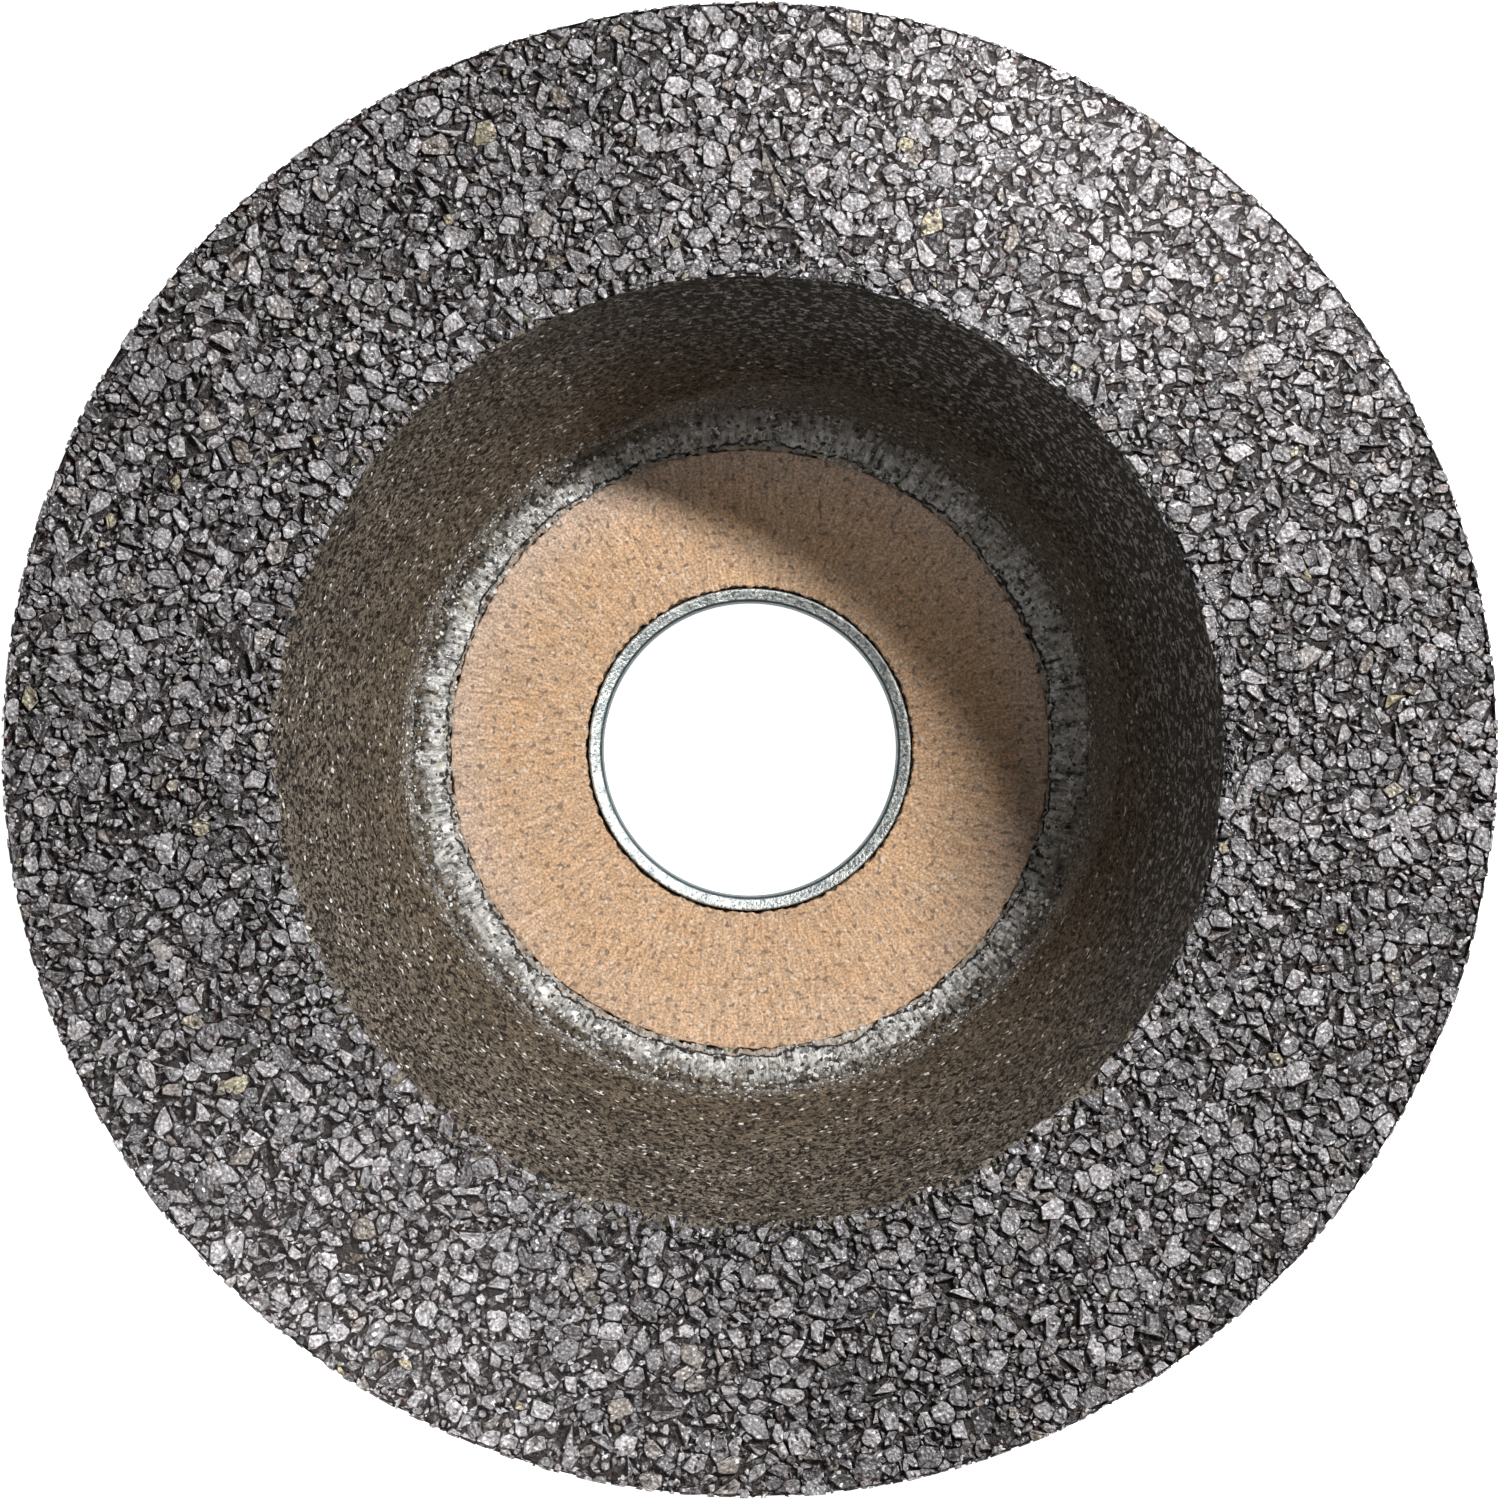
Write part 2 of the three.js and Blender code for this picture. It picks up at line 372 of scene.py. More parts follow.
def tanCardFinish():
    look = {
        "tan": (0.62, 0.395, 0.235),
        "worn": (0.6, 0.405, 0.26),
        "pink": (0.6, 0.46, 0.37),
        "speck": (0.16, 0.12, 0.1),
        "shred": (0.88, 0.77, 0.65),
    }
    f = Finish("tanCard", {"Specular IOR Level": 0.3})
    rim = f.between(f.fromAxis(), blotterRadius - 4.5 * mm, blotterRadius)
    fuzz = f.noise(0.2 * mm, 3, 0.65)
    streak = f.noise(0.3 * mm, 2, 0.6, at=f.polar(20 * mm, 0.22))
    cloud = f.noise(3 * mm, 3, 0.6)
    speck = f.noise(0.5 * mm, 1, 0.4)
    shred = channels(f, f.cells(0.2 * mm, out="Color"), "Red")[0]
    base = f.blend(look["tan"], look["worn"], f.between(cloud, 0.35, 0.65))
    # pink fuzz round the rim, with a painted sheen: stronger toward +Y, weaker toward -Y
    rimFuzzAndSheen = rim * f.between(f.coordinate("Y"), -18 * mm, -6 * mm, 0.15, 0.65)
    base = f.blend(base, look["pink"], rimFuzzAndSheen)
    base = f.shade(base, f.between(fuzz, 0.28, 0.72, 0.58, 1.42))
    base = f.shade(base, f.between(streak, 0.3, 0.7, 0.82, 1.18))
    base = f.blend(base, look["speck"], 0.7 * f.between(speck, 0.39, 0.32))
    f.feed("Base Color", f.blend(base, look["shred"], 0.6 * f.between(shred, 0.95, 0.97)))
    f.feed("Roughness", 0.85)
    f.feed("Normal", f.bump(fuzz + 0.6 * streak, 0.1 * mm, 0.7))
    return f.material


def zincRimFinish():
    look = {
        "dull": (0.4, 0.44, 0.44),
        "zinc": (0.74, 0.77, 0.75),
        "bright": (0.93, 0.93, 0.88),
        # turned: the colour of a painted shade ring on the round into the bore
        "turned": (0.16, 0.2, 0.21),
    }
    f = Finish("zincRim", {"Metallic": 0.9})
    grain = f.noise(0.22 * mm, 3, 0.6)
    turning = f.noise(0.16 * mm, 2, 0.6, at=f.vectors("MULTIPLY", f.place, (0.2, 0.2, 1)))
    patch = f.noise(1.2 * mm, 3, 0.6)
    tint = f.ramp(patch, (0.3, look["dull"]), (0.55, look["zinc"]), (0.7, look["bright"]))
    tint = f.shade(tint, f.between(grain, 0.34, 0.56, 0.4, 1.1))
    # painted shade: a dark band on the round where the rim turns down into the bore
    turned = f.between(f.fromAxis(), boreRadius + 0.23 * mm, boreRadius + 0.15 * mm)
    f.feed("Base Color", f.blend(tint, look["turned"], turned))
    f.feed("Roughness", f.between(grain, 0.3, 0.7, 0.4, 0.62))
    f.feed("Normal", f.bump(grain + 0.6 * turning, 0.1 * mm, 0.9))
    return f.material


def backSteelFinish():
    look = {"dark": (0.16, 0.163, 0.168), "light": (0.23, 0.233, 0.235), "scuff": (0.17, 0.14, 0.12)}
    f = Finish("backSteel", {"Metallic": 0.95})
    distance = f.fromAxis()
    circle = f.node("ShaderNodeCombineXYZ", {}, {"X": distance, "Z": distance * 0.3})
    turned = f.noise(0.35 * mm, 3, 0.65, at=circle)
    cloud = f.noise(11 * mm, 3, 0.55)
    scuff = f.noise(1.6 * mm, 4, 0.7)
    tint = f.ramp(cloud, (0.3, look["dark"]), (0.7, look["light"]))
    tint = f.shade(tint, f.between(turned, 0.3, 0.7, 0.8, 1.12))
    f.feed("Base Color", f.blend(tint, look["scuff"], 0.6 * f.between(scuff, 0.6, 0.72)))
    f.feed("Roughness", 0.32 + 0.22 * scuff + 0.1 * cloud)
    f.feed("Normal", f.bump(turned + 0.4 * scuff, 0.03 * mm, 0.5))
    return f.material


def labelPrintFinish(inner, outer):
    # a plain inked ring with two pale edges and two thin pale hoops
    look = {
        "ink": (0.02, 0.065, 0.095),
        "faded": (0.03, 0.09, 0.12),
        "pale": (0.62, 0.63, 0.6),
        "worn": (0.45, 0.42, 0.36),
    }
    f = Finish("labelPrint", {"Specular IOR Level": 0.4})
    across = (f.fromAxis() - inner) / (outer - inner)
    paper = f.noise(0.5 * mm, 3, 0.6)
    wear = f.noise(2.2 * mm, 4, 0.65)
    edges = f.between(across, 0.94, 0.945) + f.between(across, 0.06, 0.055)
    outerHoop = f.between(across, 0.885, 0.89) * f.between(across, 0.915, 0.91)
    innerHoop = f.between(across, 0.085, 0.09) * f.between(across, 0.115, 0.11)
    printed = f.maths("MINIMUM", edges + outerHoop + innerHoop, 1.0)
    tint = f.blend(f.blend(look["ink"], look["faded"], paper), look["pale"], printed)
    f.feed("Base Color", f.blend(tint, look["worn"], 0.8 * f.between(wear, 0.68, 0.74)))
    f.feed("Roughness", 0.42 + 0.25 * paper)
    f.feed("Normal", f.bump(paper, 0.03 * mm, 0.5))
    return f.material


def glassClothFinish():
    look = {"strand": 2.4 * mm, "resin": (0.1, 0.07, 0.03), "glass": (0.5, 0.4, 0.2)}
    f = Finish("glassCloth", {"Specular IOR Level": 0.5})
    levels = {"Vector": f.place, "Scale": 0.314 / look["strand"]}
    warp, weft = [
        f.node("ShaderNodeTexWave", {"bands_direction": way}, levels, 1)
        for way in ("X", "Y")
    ]
    over = f.maths("MAXIMUM", warp, weft)
    thread = f.noise(0.2 * mm, 2, 0.6)
    tint = f.ramp(over, (0.35, look["resin"]), (0.75, look["glass"]))
    f.feed("Base Color", f.shade(tint, f.between(thread, 0.3, 0.7, 0.8, 1.15)))
    f.feed("Roughness", 0.35 + 0.3 * thread)
    f.feed("Normal", f.bump(over + 0.2 * thread, 0.2 * mm, 0.8))
    return f.material


def baseMixFinish():
    look = {"deep": (0.01, 0.009, 0.008), "skin": (0.055, 0.048, 0.042), "grain": (0.15, 0.14, 0.13)}
    f = Finish("baseMix", {"Specular IOR Level": 0.45})
    grit = f.noise(0.26 * mm, 3, 0.65)
    pick = channels(f, f.cells(0.5 * mm, out="Color"), "Red")[0]
    edge = f.cells(0.5 * mm, feature="DISTANCE_TO_EDGE")
    skin = f.ramp(grit, (0.3, look["deep"]), (0.7, look["skin"]))
    grain = f.shade(look["grain"], f.between(grit, 0.3, 0.7, 0.3, 1.6))
    shown = f.between(edge, 0.03, 0.2) * f.between(pick, 0.3, 0.9)
    f.feed("Base Color", f.blend(skin, grain, shown))
    f.feed("Roughness", f.between(grit, 0.3, 0.7, 0.7, 0.45))
    f.feed("Normal", f.bump(edge + 0.7 * grit, 0.18 * mm, 0.9))
    return f.material


# ---- modelling
def chosen(piece):
    bpy.ops.object.select_all(action="DESELECT")
    piece.select_set(True)
    bpy.context.view_layer.objects.active = piece


def stretch(a, b, gap):
    # corners along a straight edge of an outline, from a up to b, no further apart than gap
    count = max(1, math.ceil(math.dist(a, b) / gap))
    return [(a[0] + (b[0] - a[0]) * k / count, a[1] + (b[1] - a[1]) * k / count) for k in range(count)]


def rounded(r, z, radius, first, last, steps):
    # corners along an arc round (r, z), between two angles in degrees
    angles = [math.radians(first + (last - first) * k / steps) for k in range(steps + 1)]
    return [(r + radius * math.cos(a), z + radius * math.sin(a)) for a in angles]


def spun(name, outline, segments, smooth=40):
    # a loop of corners, moved to the outline and turned once round the spindle axis
    bpy.ops.object.select_all(action="DESELECT")
    bpy.ops.mesh.primitive_circle_add(vertices=len(outline), radius=1, fill_type="NOTHING")
    piece = bpy.context.object
    piece.name = name
    for corner, (r, z) in zip(piece.data.vertices, outline):
        corner.co = (r, 0, z)
    turn = piece.modifiers.new("turn", "SCREW")
    turn.axis = "Z"
    turn.angle = math.tau
    turn.steps = segments
    turn.render_steps = segments
    bpy.ops.object.modifier_apply(modifier=turn.name)
    bpy.ops.object.mode_set(mode="EDIT")
    bpy.ops.mesh.select_all(action="SELECT")
    bpy.ops.mesh.remove_doubles(threshold=0.001 * mm)
    bpy.ops.mesh.normals_make_consistent(inside=False)
    bpy.ops.object.mode_set(mode="OBJECT")
    bpy.ops.object.shade_smooth_by_angle(angle=math.radians(smooth))
    return piece


def relief(piece, weight, *textures):
    # pushes the corners out and in by textures, as far as weight(r, z) says, from 0 to 1
    group = piece.vertex_groups.new(name="relief")
    for corner in piece.data.vertices:
        share = weight(math.hypot(corner.co.x, corner.co.y), corner.co.z)
        if share > 0:
            group.add([corner.index], share, "REPLACE")
    chosen(piece)
    for kind, size, depth, *more in textures:
        direction, detail = more or ("NORMAL", 0)
        texture = bpy.data.textures.new(f"{piece.name}_{kind}", kind)
        texture.noise_scale = size
        if detail:
            texture.noise_depth = detail
        push = piece.modifiers.new("push", "DISPLACE")
        push.texture = texture
        push.texture_coords = "LOCAL"
        push.strength = depth
        push.mid_level = 0.5
        push.vertex_group = group.name
        push.direction = direction
        bpy.ops.object.modifier_apply(modifier=push.name)
    piece.vertex_groups.clear()


def finished(piece, material, slot, *nodes):
    piece.data.materials.clear()
    piece.data.materials.append(material)
    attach(piece, "root")
    if nodes:
        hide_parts(*nodes)
    print(piece.name, len(piece.data.polygons), "faces")
    return piece


# ---- the abrasive cup: body, moulded wall skin and the crushed grains of the face and the outside.
# A relief is a list of textures: kind, size, depth and, where needed, direction and detail.
cupSizes = {
    "segments": 720,
    "skin": 1.5 * mm,
    "bedDepth": 0.75 * mm,  # the resin bed lies this far under the grinding face
    "bedGap": 0.7 * mm,
    "bedRelief": ("CLOUDS", 0.6 * mm, 0.4 * mm),
    "sideDepth": 0.42 * mm,  # and this far inside the moulded outside
    "sideGap": 0.8 * mm,
    "sideRelief": ("CLOUDS", 0.6 * mm, 0.35 * mm),
    "calm": 2 * mm,  # below the face, the side comes out to the rim
    "fade": 3 * mm,  # and its relief fades
    "rim": 0.1 * mm,  # width of the resin edge round the bed
    "rimInset": 0.2 * mm,
    "rimDrop": 0.12 * mm,
}
wallSizes = {
    "gap": 0.33 * mm,
    "clear": 0.05 * mm,  # between the skin and the cup behind it
    "swell": ("CLOUDS", 0.75 * mm, 0.3 * mm),
    "dents": ("VORONOI", 1.3 * mm, 0.16 * mm),
}
bedHeight = faceHeight - cupSizes["bedDepth"]


def makeCupBody(material):
    deep, skin, rim = cupSizes["sideDepth"], cupSizes["skin"], cupSizes["rim"]
    brink = (outside(faceHeight) - cupSizes["rimInset"], faceHeight - cupSizes["rimDrop"])
    lip = (inside(bedHeight) + skin, bedHeight)
    foot = (inside(cupFloor) + skin, cupFloor)
    calm = (outside(faceHeight - cupSizes["calm"]) - deep, faceHeight - cupSizes["calm"])
    outline = stretch((footRadius - deep, baseTop), calm, cupSizes["sideGap"])
    outline += stretch(calm, brink, cupSizes["sideGap"])
    outline += [brink, (brink[0] - rim, brink[1] - rim)]
    outline += stretch((outside(bedHeight) - 2 * rim, bedHeight), lip, cupSizes["bedGap"])
    outline += [lip, foot, (holeRadius, cupFloor), (holeRadius, baseTop)]
    piece = spun("cup_body", outline, cupSizes["segments"])

    def onSide(r, z):
        isSide = r > outside(z) - 1.5 * deep and z > baseTop + 0.2 * mm
        return isSide * min(1.0, max(0.0, (brink[1] - z) / cupSizes["fade"]))

    def onBed(r, z):
        return float(z > bedHeight - 0.1 * mm and r < outside(bedHeight) - 2.5 * rim)

    relief(piece, onSide, cupSizes["sideRelief"])
    relief(piece, onBed, cupSizes["bedRelief"])
    return finished(piece, material, "coarse_abrasive", "abrasive_cup")


def makeWallSkin(material):
    skin = cupSizes["skin"] - wallSizes["clear"]
    lip = (inside(bedHeight), bedHeight)
    foot = (inside(cupFloor), cupFloor)
    outline = stretch(lip, foot, wallSizes["gap"])
    outline += [foot, (foot[0] + skin, foot[1]), (lip[0] + skin, lip[1])]
    piece = spun("wall_skin", outline, cupSizes["segments"])

    def onWall(r, z):
        return float(r < inside(z) + 0.2 * mm)

    relief(piece, onWall, wallSizes["swell"], wallSizes["dents"])
    return finished(piece, material, "coarse_abrasive")


# crushed grains: outlines packed side by side on a band round the axis, each made a block with
# a bevelled edge and a broken top. The band runs from a to b, two (r, z) places of the profile,
# and the grains stand on its left.
# A grain is a row of numbers: its place, size, stretch and the way of its long side.
def onBand(a, b, u, v):
    # u is a share of the band's area and v a share of a turn
    r = np.sqrt(a[0] ** 2 + u * (b[0] ** 2 - a[0] ** 2))
    z = a[1] + (b[1] - a[1]) * (r - a[0]) / (b[0] - a[0])
    return np.column_stack([r * np.cos(math.tau * v), r * np.sin(math.tau * v), z])


def bandWays(a, b, spots):
    # unit vectors across the band and round it, at each spot
    dr, dz = (b[0] - a[0]) / math.dist(a, b), (b[1] - a[1]) / math.dist(a, b)
    turn = np.arctan2(spots[:, 1], spots[:, 0])
    cos, sin, none = np.cos(turn), np.sin(turn), np.zeros(len(turn))
    return np.column_stack([dr * cos, dr * sin, none + dz]), np.column_stack([-sin, cos, none])


def reach(ways, far, grains):
    # how far each grain, an ellipse, reaches along a way
    size, longer, side = grains[..., 3], grains[..., 4], grains[..., 5:]
    cosine = (ways * side).sum(-1) / far
    return size / np.sqrt((cosine / longer) ** 2 + (1 - cosine**2) * longer**2)


def apart(some, others, overlap):
    # which pairs of grains leave each other room
    ways = some[:, None, :3] - others[None, :, :3]
    far = np.sqrt((ways**2).sum(2)) + 0.001 * mm
    return far > overlap * (reach(ways, far, some[:, None]) + reach(ways, far, others[None]))


def packed(rng, a, b, look, sectors=24, batch=60):
    # throws grains on the band, coarse ones first, and keeps those that fit between the others
    taken = np.empty((0, 8))
    for smallest, largest, throws in look["sizes"]:
        for sector in range(sectors):
            middle = math.tau * (sector + 0.5) / sectors
            way = taken[:, :2] @ (math.cos(middle), math.sin(middle))
            edge = math.cos(1.5 * math.pi / sectors) * np.hypot(taken[:, 0], taken[:, 1])
            near = taken[way > edge]
            for _ in range(throws):
                shares = rng.uniform(size=(batch, 2))
                spots = onBand(a, b, shares[:, 0], (sector + shares[:, 1]) / sectors)
                across, around = bandWays(a, b, spots)
                lean = rng.uniform(0, math.pi, (batch, 1))
                sides = across * np.cos(lean) + around * np.sin(lean)
                shape = rng.uniform((smallest, look["longer"][0]), (largest, look["longer"][1]), (batch, 2))
                grains = np.column_stack([spots, shape, sides])
                grains = grains[apart(grains, near, look["overlap"]).all(1)]
                fresh = ~np.triu(~apart(grains, grains, look["overlap"]), 1).any(0)
                near = np.vstack([near, grains[fresh]])
                taken = np.vstack([taken, grains[fresh]])
    return taken


def clipped(outline, way, limit):
    # what is left of an outline within a distance along way
    depths = [x * way[0] + y * way[1] - limit for x, y in outline]
    kept = []
    for k, depth in enumerate(depths):
        before = depths[k - 1]
        if (depth < 0) != (before < 0):
            share = before / (before - depth)
            kept.append(tuple(p + (q - p) * share for p, q in zip(outline[k - 1], outline[k])))
        if depth < 0:
            kept.append(outline[k])
    return kept


def grainCells(rng, a, b, grains, look):
    # for each grain, its corners in place: an uneven polygon, cut where its neighbours begin and
    # at the band's edges
    across, around = bandWays(a, b, grains)
    out = np.cross(across, around)
    length = math.dist(a, b)
    outwards = (np.hypot(grains[:, 0], grains[:, 1]) - a[0]) * (b[0] - a[0])
    along = (outwards + (grains[:, 2] - a[1]) * (b[1] - a[1])) / length
    tree = KDTree(len(grains))
    for k, grain in enumerate(grains):
        tree.insert(grain[:3], k)
    tree.balance()
    largest = (grains[:, 3] * grains[:, 4]).max()
    cells = []
    for k, grain in enumerate(grains):
        place, size, longer = grain[:3], grain[3] * look["spread"], grain[4]
        count = rng.integers(*look["corners"])
        turns = (np.arange(count) + rng.uniform(-0.4, 0.4, count)) * math.tau / count
        side = np.array([grain[5:] @ across[k], grain[5:] @ around[k]])
        aside = np.array([-side[1], side[0]])
        outline = np.outer(np.cos(turns), side * size * longer)
        outline = [tuple(c) for c in outline + np.outer(np.sin(turns), aside * size / longer)]
        near = [n for _, n, _ in tree.find_range(place, size * longer + largest) if n != k]
        ways = grains[near, :3] - place
        far = np.linalg.norm(ways, axis=1)
        mine, theirs = reach(ways, far, grain), reach(ways, far, grains[near])
        limits = far * mine / (mine + theirs) - rng.uniform(*look["gap"])
        flat = np.column_stack([ways @ across[k], ways @ around[k]]) / far[:, None]
        for way, limit in zip(flat, limits):
            if limit < size * longer:
                outline = clipped(outline, way, limit)
        outline = clipped(outline, (-1, 0), along[k] + rng.uniform(*look["overhang"]))
        outline = clipped(outline, (1, 0), length - along[k])
        outline = [c for n, c in enumerate(outline) if math.dist(c, outline[n - 1]) > look["shortest"]]
        if len(outline) < 3:
            cells.append(None)
            continue
        flat = np.array(outline)
        lift = flat @ rng.normal(0, math.tan(math.radians(look["tilt"])), 2)
        lift += look["top"] - lift.max() - rng.uniform(0, look["deep"]) ** 2 / look["deep"]
        cells.append(place + flat[:, :1] * across[k] + flat[:, 1:] * around[k] + lift[:, None] * out[k])
    return cells


def grainMarks(rng, count, look):
    # tone, hue and shine of each grain; the last value is 1 where it is bare of resin
    tones = np.clip(rng.normal(look["tone"], look["toneSpread"], count), 0, 1)
    return np.column_stack([tones, rng.uniform(size=(count, 2)), np.zeros(count)])


def meshOf(name, corners, faces, marks):
    mesh = bpy.data.meshes.new(name)
    mesh.from_pydata(corners, [], faces)
    grain = mesh.attributes.new("grain", "FLOAT_COLOR", "FACE")
    grain.data.foreach_set("color", np.asarray(marks, float).ravel())
    piece = bpy.data.objects.new(name, mesh)
    bpy.context.scene.collection.objects.link(piece)
    chosen(piece)
    return piece


def broken(piece, rng, cut, shift):
    # splits the chosen faces and moves the new corners at random
    whole = len(piece.data.vertices)
    bpy.ops.object.mode_set(mode="EDIT")
    cut()
    bpy.ops.object.mode_set(mode="OBJECT")
    corners = readAll(piece.data.vertices, "co", 3)
    corners[whole:] += rng.normal(0, shift, corners[whole:].shape)
    piece.data.vertices.foreach_set("co", corners.ravel())


def readAll(items, name, width):
    values = np.empty(width * len(items))
    items.foreach_get(name, values)
    return values.reshape(-1, width)


def blocks(name, marks, cells, look):
    # each cell made a block, with its top face raised inside a bevel
    faces, first = [], 0
    for cell in cells:
        faces.append(range(first, first + len(cell)))
        first += len(cell)
    piece = meshOf(name, np.vstack(cells).tolist(), faces, marks)
    block = piece.modifiers.new("block", "SOLIDIFY")
    block.thickness = look["thick"]
    block.offset = -1
    bpy.ops.object.modifier_apply(modifier=block.name)
    bpy.ops.object.mode_set(mode="EDIT")
    bpy.ops.mesh.select_mode(type="FACE")
    bpy.ops.mesh.select_all(action="DESELECT")
    bpy.ops.object.mode_set(mode="OBJECT")
    for side in piece.data.polygons:
        side.select = side.index < len(cells)
    bpy.ops.object.mode_set(mode="EDIT")
    bpy.ops.mesh.inset(use_individual=True, thickness=look["bevel"], depth=look["rise"])
    bpy.ops.object.mode_set(mode="OBJECT")
    return piece


def markFacets(piece, rng, a, b, look):
    # facets that look out of the band are bare of resin, and each has its own tone
    facing = readAll(piece.data.polygons, "normal", 3)
    out = np.cross(*bandWays(a, b, readAll(piece.data.polygons, "center", 3)))
    bare = (facing * out).sum(1) > look["steep"]
    grain = piece.data.attributes["grain"]
    marks = readAll(grain.data, "color", 4)
    marks[:, 3] = bare
    marks[:, 0] = np.clip(marks[:, 0] + rng.normal(0, look["facetSpread"], len(bare)), 0, 1)
    grain.data.foreach_set("color", marks.ravel())
    piece.data.update()


def grainBlocks(name, rng, a, b, cells, look):
    piece = blocks(name, grainMarks(rng, len(cells), look), cells, look)
    broken(piece, rng, bpy.ops.mesh.poke, look["ridge"])
    if look["jag"]:
        broken(piece, rng, bpy.ops.mesh.subdivide, look["jag"])
    corners = readAll(piece.data.vertices, "co", 3)
    piece.data.vertices.foreach_set("co", trimmedToCup(corners).ravel())
    piece.data.update()
    markFacets(piece, rng, a, b, look)
    return piece


faceGrains = {
    "seed": 3,
    "overlap": 0.84,
    "sizes": [  # smallest and largest size, and how often grains are thrown
        (0.75 * mm, 0.98 * mm, 1),
        (0.45 * mm, 0.75 * mm, 5),
        (0.26 * mm, 0.45 * mm, 14),
        (0.16 * mm, 0.26 * mm, 20),
    ],
    "split": 0.36 * mm,  # grains up to this size are fine ones
    "corners": (3, 8),
    "spread": 1.25,
    "longer": (1.0, 1.6),
    "gap": (-0.1 * mm, 0.14 * mm),  # below nothing, a grain cuts into its neighbours
    "shortest": 0.06 * mm,
    "overhang": (-0.2 * mm, 0.35 * mm),  # past the edge at a
    "tone": 0.5,
    "toneSpread": 0.25,
    "facetSpread": 0.14,
    "steep": 0.35,  # facets that look out less than this keep their resin
}
sideGrains = {
    "seed": 5,
    "overlap": 0.88,
    "sizes": [
        (0.62 * mm, 0.9 * mm, 2),
        (0.42 * mm, 0.62 * mm, 8),
        (0.26 * mm, 0.42 * mm, 14),
    ],
    "split": 0,
    "corners": (4, 8),
    "spread": 1.2,
    "longer": (1.0, 1.5),
    "gap": (-0.04 * mm, 0.12 * mm),
    "shortest": 0.06 * mm,
    "overhang": (-0.1 * mm, 0.1 * mm),
    "tone": 0.42,
    "toneSpread": 0.28,
    "facetSpread": 0.08,
    "steep": 0.6,
}
coarseGrains = {
    "tilt": 10,  # degrees
    "deep": 0.4 * mm,  # the deepest grain stands this far below the highest
    "thick": 0.7 * mm,
    "bevel": 0.06 * mm,
    "rise": 0.06 * mm,
    "ridge": 0.1 * mm,  # how far the top breaks up
    "jag": 0.035 * mm,  # and its facets once more
}
fineGrains = {
    "tilt": 18,
    "deep": 0.5 * mm,
    "thick": 0.4 * mm,
    "bevel": 0.03 * mm,
    "rise": 0.04 * mm,
    "ridge": 0.06 * mm,
    "jag": 0,
}
mouldedGrains = {
    "tilt": 4,
    "deep": 0.3 * mm,
    "thick": 0.5 * mm,
    "bevel": 0.08 * mm,
    "rise": 0.05 * mm,
    "ridge": 0.04 * mm,
    "jag": 0,
}


def trimmedToCup(corners):
    # grains end flush with the moulded outside and the grinding face
    radius = np.hypot(corners[:, 0], corners[:, 1])
    share = np.minimum(1, (outside(corners[:, 2]) - 0.01 * mm) / radius)
    kept = corners * np.column_stack([share, share, np.ones(len(share))])
    kept[:, 2] = np.minimum(kept[:, 2], faceHeight + 0.02 * mm)
    return kept


def makeGrains(place, a, b, spread, kinds, material):
    # kinds: the look of each kind of grain, the coarse ones first
    rng = np.random.default_rng(spread["seed"])
    grains = packed(rng, a, b, spread)
    isFine = grains[:, 3] <= spread["split"]
    for kind, wanted in zip(kinds, (~isFine, isFine)):
        look = {**spread, **kinds[kind]}
        look["top"] = -look["rise"]
        cells = grainCells(rng, a, b, grains, look)
        cells = [c for c, own in zip(cells, wanted) if own and c is not None]
        for half in (0, 1):
            mine = [c for c in cells if (c[0][0] > 0) == half]
            piece = grainBlocks(f"{place}_grains_{kind}_{half + 1}", rng, a, b, mine, look)
            finished(piece, material, "coarse_abrasive")


# crumbs: loose small grains set into the surface of a finished piece, a few dozen faces each
crumbShapes = {"count": 8, "cuts": 4, "merge": 0.16, "seed": 11}


def makeCrumbShapes():
    rng = np.random.default_rng(crumbShapes["seed"])
    shapes = []
    for _ in range(crumbShapes["count"]):
        bpy.ops.object.select_all(action="DESELECT")
        bpy.ops.mesh.primitive_ico_sphere_add(subdivisions=1, radius=1)
        crumb = bpy.context.object
        bpy.ops.object.mode_set(mode="EDIT")
        for _ in range(crumbShapes["cuts"]):
            facing = Vector(rng.normal(size=3)).normalized()
            bpy.ops.mesh.select_all(action="SELECT")
            bpy.ops.mesh.bisect(
                plane_co=facing * rng.uniform(0.45, 0.75),
                plane_no=facing,
                use_fill=True,
                clear_outer=True,
            )
        bpy.ops.mesh.select_all(action="SELECT")
        bpy.ops.mesh.remove_doubles(threshold=crumbShapes["merge"])
        bpy.ops.mesh.quads_convert_to_tris()
        bpy.ops.mesh.normals_make_consistent(inside=False)
        bpy.ops.object.mode_set(mode="OBJECT")
        corners = np.array([v.co for v in crumb.data.vertices])
        shapes.append((corners, np.array([p.vertices[:] for p in crumb.data.polygons])))
        bpy.data.objects.remove(crumb)
    return shapes


